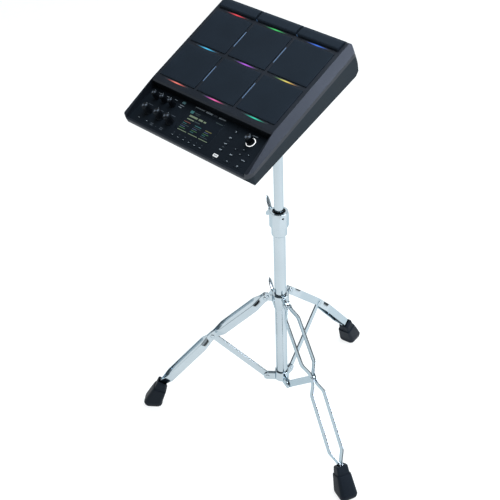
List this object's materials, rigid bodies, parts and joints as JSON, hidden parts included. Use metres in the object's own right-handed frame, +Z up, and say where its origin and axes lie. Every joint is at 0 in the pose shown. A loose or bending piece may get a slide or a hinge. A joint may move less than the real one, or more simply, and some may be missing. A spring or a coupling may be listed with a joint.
{
  "type": "percussion practice pad",
  "caption": "Nine-zone electronic percussion practice pad with lit pads, display, knobs and buttons, on a folding chrome double-braced tripod stand with height, swivel and tilt adjustment.",
  "frame": {"origin": "floor level, at the middle of the standing assembly's footprint box", "axes": "+Z up, -Y towards the player, +X to the player's right"},
  "size_m": [0.647, 0.6388, 1.0793],
  "materials": {
    "chrome": "polished chrome plate",
    "boot_rubber": "matt moulded rubber",
    "nylon": "black nylon",
    "dark_steel": "black powder coat",
    "zinc_steel": "zinc-plated steel",
    "upper_case": "fine-grained moulding",
    "lower_case": "grained moulding",
    "panel_face": "satin printed sheet",
    "pad_rubber": "fine matt rubber",
    "screen_glass": "clear window",
    "screen": "lit display",
    "board": "solder-masked board",
    "sensor": "brass sensor disc",
    "knob_plastic": "soft satin",
    "button_plastic": "satin",
    "lit_plastic": "backlit white",
    "light_guide": "translucent light guide"
  },
  "bodies": {
    "column": {"column_tube": "chrome", "column_collar": "chrome", "collar_bush": "nylon", "brace_hub": "chrome", "brace_hub_pins": "chrome"},
    "collar_bolt": {"collar_wing_bolt": "chrome"},
    "leg_hub": {"leg_hub": "chrome", "leg_hub_pins": "chrome"},
    "hub_bolt": {"leg_hub_wing_bolt": "chrome"},
    "pole": {"pole_tube": "chrome"},
    "tilter": {"tilter_base": "chrome"},
    "socket_bolt": {"socket_wing_bolt": "chrome"},
    "pad_unit": {"bottom_case": "lower_case", "top_case": "upper_case", "control_panel": "panel_face", "display_window": "screen_glass", "display_module": "screen", "panel_circuit_board": "board", "main_circuit_board": "board", "sensor_base_plate": "zinc_steel", "pad_sensors": "sensor", "main_pads": "pad_rubber", "edge_pads": "pad_rubber", "pad_light_guides": "light_guide", "divider_light_guides": "light_guide", "rear_panel": "dark_steel", "rear_connectors": "nylon", "case_screws": "zinc_steel", "case_feet": "boot_rubber", "dial_light_ring": "lit_plastic", "mounting_plate": "dark_steel", "mounting_bolts": "zinc_steel", "tilter_bracket": "dark_steel", "tilter_pivot_bolt": "chrome"},
    "tilt_nut": {"tilter_wing_nut": "chrome"},
    "left_brace": {"left_brace": "chrome"},
    "left_leg": {"left_leg": "chrome", "left_foot": "boot_rubber"},
    "front_brace": {"front_brace": "chrome"},
    "front_leg": {"front_leg": "chrome", "front_foot": "boot_rubber"},
    "rear_brace": {"rear_brace": "chrome"},
    "rear_leg": {"rear_leg": "chrome", "rear_foot": "boot_rubber"},
    "level_knob_1": {"level_knob_1": "knob_plastic"},
    "level_knob_2": {"level_knob_2": "knob_plastic"},
    "level_knob_3": {"level_knob_3": "knob_plastic"},
    "control_knob_1": {"control_knob_1": "knob_plastic"},
    "control_knob_2": {"control_knob_2": "knob_plastic"},
    "control_knob_3": {"control_knob_3": "knob_plastic"},
    "value_dial": {"value_dial": "knob_plastic"},
    "function_buttons": {"function_buttons": "button_plastic"},
    "quick_button": {"quick_button": "button_plastic"},
    "menu_buttons": {"menu_buttons": "button_plastic"},
    "lit_button": {"lit_button": "lit_plastic"},
    "arrow_buttons": {"arrow_buttons": "button_plastic"},
    "exit_button": {"exit_button": "button_plastic"},
    "enter_button": {"enter_button": "button_plastic"},
    "minus_button": {"minus_button": "button_plastic"},
    "plus_button": {"plus_button": "button_plastic"}
  },
  "joints": [
    {"name": "left_brace_fold", "type": "hinge", "parent": "column", "child": "left_brace", "pos_m": [-0.05773, -0.06921, 0.11], "axis": [0.6485, -0.7612, 0], "range_deg": [-37, 4]},
    {"name": "left_leg_fold", "type": "hinge", "parent": "left_brace", "child": "left_leg", "pos_m": [-0.16165, -0.15774, 0.2365], "axis": [0.6485, -0.7612, 0], "range_deg": [-8, 74]},
    {"name": "front_brace_fold", "type": "hinge", "parent": "column", "child": "front_brace", "pos_m": [0.00529, -0.05761, 0.11], "axis": [0.335, 0.9422, 0], "range_deg": [-37, 4]},
    {"name": "front_leg_fold", "type": "hinge", "parent": "front_brace", "child": "front_leg", "pos_m": [0.13392, -0.10334, 0.2365], "axis": [0.335, 0.9422, 0], "range_deg": [-8, 74]},
    {"name": "rear_brace_fold", "type": "hinge", "parent": "column", "child": "rear_brace", "pos_m": [-0.03627, -0.00883, 0.11], "axis": [-0.9835, -0.181, 0], "range_deg": [-37, 4]},
    {"name": "rear_leg_fold", "type": "hinge", "parent": "rear_brace", "child": "rear_leg", "pos_m": [-0.06098, 0.12543, 0.2365], "axis": [-0.9835, -0.181, 0], "range_deg": [-8, 74]},
    {"name": "leg_hub_slide", "type": "hinge", "parent": "left_leg", "child": "leg_hub", "pos_m": [-0.05773, -0.06921, 0.363], "axis": [0.6485, -0.7612, 0], "range_deg": [-37, 4]},
    {"name": "leg_hub_bolt_turn", "type": "hinge", "parent": "leg_hub", "child": "hub_bolt", "pos_m": [-0.02957, -0.04522, 0.3545], "axis": [-0.9422, 0.335, 0], "range_deg": [-20, 630]},
    {"name": "collar_bolt_turn", "type": "hinge", "parent": "column", "child": "collar_bolt", "pos_m": [-0.02957, -0.04522, 0.593], "axis": [-0.9422, 0.335, 0], "range_deg": [-20, 630]},
    {"name": "pole_height", "type": "slide", "parent": "column", "child": "pole", "axis": [0, 0, 1], "range_m": [-0.21, 0.1]},
    {"name": "pad_swivel", "type": "hinge", "parent": "pole", "child": "tilter", "pos_m": [-0.02957, -0.04522, 0.863], "axis": [0, 0, 1], "continuous": true},
    {"name": "socket_bolt_turn", "type": "hinge", "parent": "tilter", "child": "socket_bolt", "pos_m": [-0.02957, -0.02022, 0.881], "axis": [0, 1, 0], "range_deg": [-20, 630]},
    {"name": "pad_tilt", "type": "hinge", "parent": "tilter", "child": "pad_unit", "pos_m": [-0.02957, -0.08826, 0.92398], "axis": [1, 0, 0], "range_deg": [-21, 35]},
    {"name": "tilt_nut_turn", "type": "hinge", "parent": "pad_unit", "child": "tilt_nut", "pos_m": [-0.02957, -0.08826, 0.92398], "axis": [-1, 0, 0], "range_deg": [-20, 630]},
    {"name": "level_knob_1_turn", "type": "hinge", "parent": "pad_unit", "child": "level_knob_1", "pos_m": [-0.17957, -0.25368, 0.93216], "axis": [0, -0.4594, 0.8882], "range_deg": [-150, 150]},
    {"name": "level_knob_2_turn", "type": "hinge", "parent": "pad_unit", "child": "level_knob_2", "pos_m": [-0.15457, -0.25368, 0.93216], "axis": [0, -0.4594, 0.8882], "range_deg": [-150, 150]},
    {"name": "level_knob_3_turn", "type": "hinge", "parent": "pad_unit", "child": "level_knob_3", "pos_m": [-0.12857, -0.25368, 0.93216], "axis": [0, -0.4594, 0.8882], "range_deg": [-150, 150]},
    {"name": "control_knob_1_turn", "type": "hinge", "parent": "pad_unit", "child": "control_knob_1", "pos_m": [-0.17077, -0.28655, 0.91516], "axis": [0, -0.4594, 0.8882], "range_deg": [-150, 150]},
    {"name": "control_knob_2_turn", "type": "hinge", "parent": "pad_unit", "child": "control_knob_2", "pos_m": [-0.13277, -0.28655, 0.91516], "axis": [0, -0.4594, 0.8882], "range_deg": [-150, 150]},
    {"name": "control_knob_3_turn", "type": "hinge", "parent": "pad_unit", "child": "control_knob_3", "pos_m": [-0.10177, -0.28655, 0.91516], "axis": [0, -0.4594, 0.8882], "range_deg": [-150, 150]},
    {"name": "value_dial_turn", "type": "hinge", "parent": "pad_unit", "child": "value_dial", "pos_m": [0.10553, -0.25475, 0.93161], "axis": [0, -0.4594, 0.8882], "continuous": true},
    {"name": "function_buttons_press", "type": "slide", "parent": "pad_unit", "child": "function_buttons", "axis": [0, 0.4594, -0.8882], "range_m": [0, 0.001], "stiffness_N_per_m": 400, "springref_m": -0.001},
    {"name": "quick_button_press", "type": "slide", "parent": "pad_unit", "child": "quick_button", "axis": [0, 0.4594, -0.8882], "range_m": [0, 0.001], "stiffness_N_per_m": 400, "springref_m": -0.001},
    {"name": "menu_buttons_press", "type": "slide", "parent": "pad_unit", "child": "menu_buttons", "axis": [0, 0.4594, -0.8882], "range_m": [0, 0.001], "stiffness_N_per_m": 400, "springref_m": -0.001},
    {"name": "lit_button_press", "type": "slide", "parent": "pad_unit", "child": "lit_button", "axis": [0, 0.4594, -0.8882], "range_m": [0, 0.001], "stiffness_N_per_m": 400, "springref_m": -0.001},
    {"name": "arrow_buttons_press", "type": "slide", "parent": "pad_unit", "child": "arrow_buttons", "axis": [0, 0.4594, -0.8882], "range_m": [0, 0.001], "stiffness_N_per_m": 400, "springref_m": -0.001},
    {"name": "exit_button_press", "type": "slide", "parent": "pad_unit", "child": "exit_button", "axis": [0, 0.4594, -0.8882], "range_m": [0, 0.001], "stiffness_N_per_m": 400, "springref_m": -0.001},
    {"name": "enter_button_press", "type": "slide", "parent": "pad_unit", "child": "enter_button", "axis": [0, 0.4594, -0.8882], "range_m": [0, 0.001], "stiffness_N_per_m": 400, "springref_m": -0.001},
    {"name": "minus_button_press", "type": "slide", "parent": "pad_unit", "child": "minus_button", "axis": [0, 0.4594, -0.8882], "range_m": [0, 0.001], "stiffness_N_per_m": 400, "springref_m": -0.001},
    {"name": "plus_button_press", "type": "slide", "parent": "pad_unit", "child": "plus_button", "axis": [0, 0.4594, -0.8882], "range_m": [0, 0.001], "stiffness_N_per_m": 400, "springref_m": -0.001}
  ],
  "couplings": [
    {"joint": "left_leg_fold", "follows": "left_brace_fold", "ratio": -2},
    {"joint": "front_brace_fold", "follows": "left_brace_fold", "ratio": 1},
    {"joint": "front_leg_fold", "follows": "left_brace_fold", "ratio": -2},
    {"joint": "rear_brace_fold", "follows": "left_brace_fold", "ratio": 1},
    {"joint": "rear_leg_fold", "follows": "left_brace_fold", "ratio": -2},
    {"joint": "leg_hub_slide", "follows": "left_brace_fold", "ratio": 1}
  ]
}
